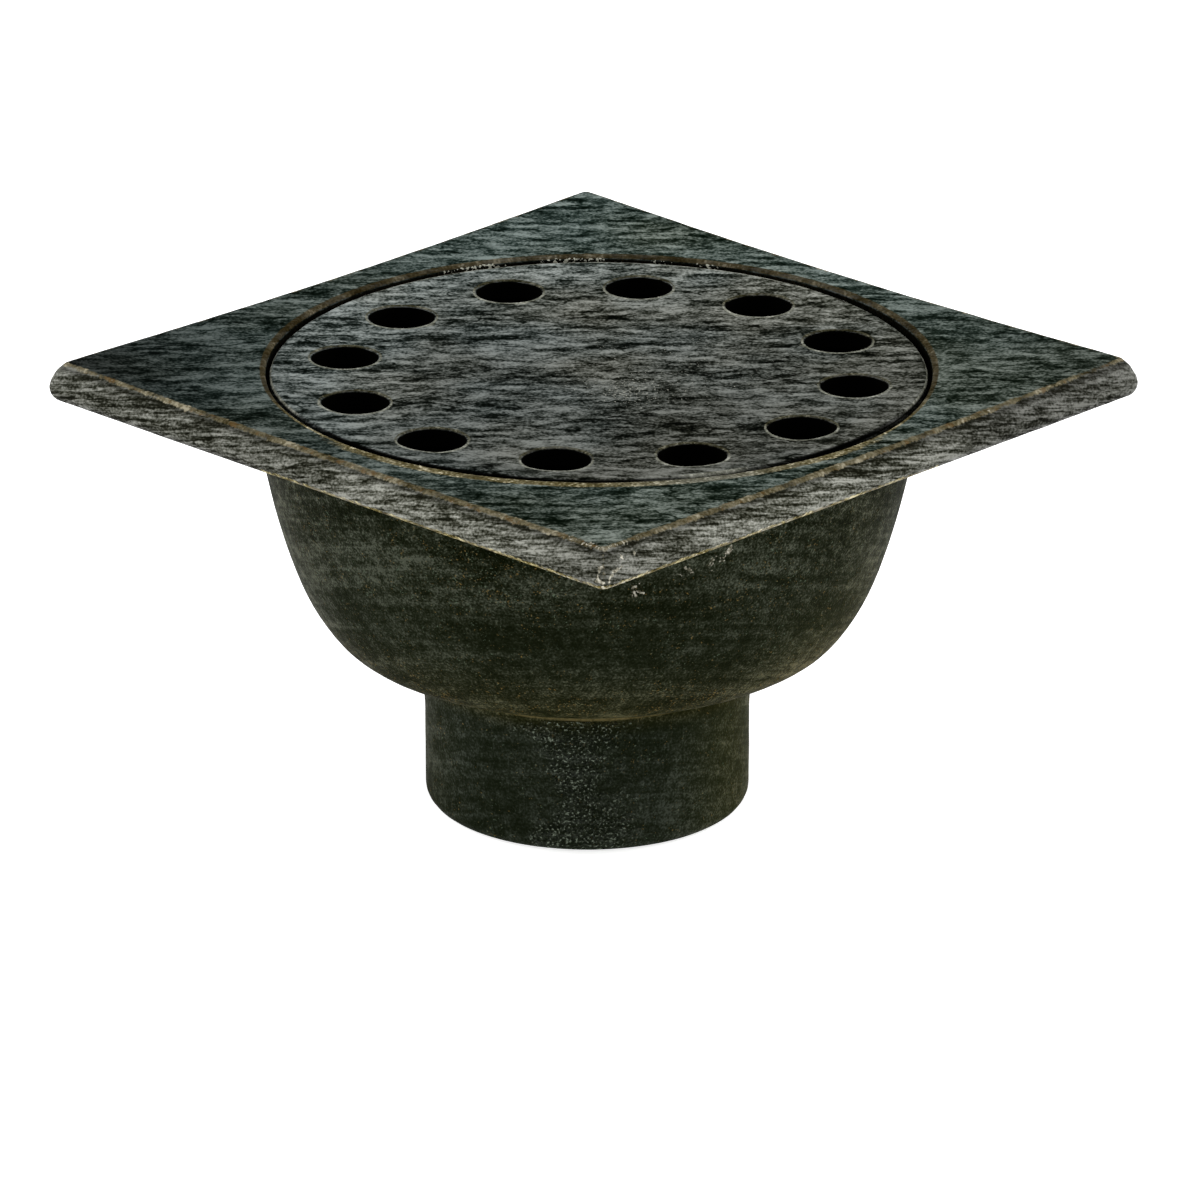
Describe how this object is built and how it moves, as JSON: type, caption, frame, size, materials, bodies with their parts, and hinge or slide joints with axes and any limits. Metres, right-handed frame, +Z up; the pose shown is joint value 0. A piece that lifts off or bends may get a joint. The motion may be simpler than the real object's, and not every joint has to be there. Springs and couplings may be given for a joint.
{
  "type": "bell trap floor drain",
  "caption": "Cast-iron floor drain: square flange with rounded edge, round lift-out strainer with drain holes and a bell under it, bowl with standpipe, and outlet spigot.",
  "frame": {"origin": "under the middle of the square flange, on the plane of the outlet spigot's end", "axes": "+Z up through the drain, X and Y along the flange's sides"},
  "size_m": [0.1524, 0.1524, 0.0914],
  "materials": {
    "body_iron": "dark coating on sand-cast iron, satin, worn to tan-brown along its edges",
    "strainer_iron": "dark coating worn lighter grey on the walked-on face, bright worn edge"
  },
  "bodies": {
    "root": {"trap_body": "body_iron", "strainer_bell": "strainer_iron"}
  },
  "joints": []
}
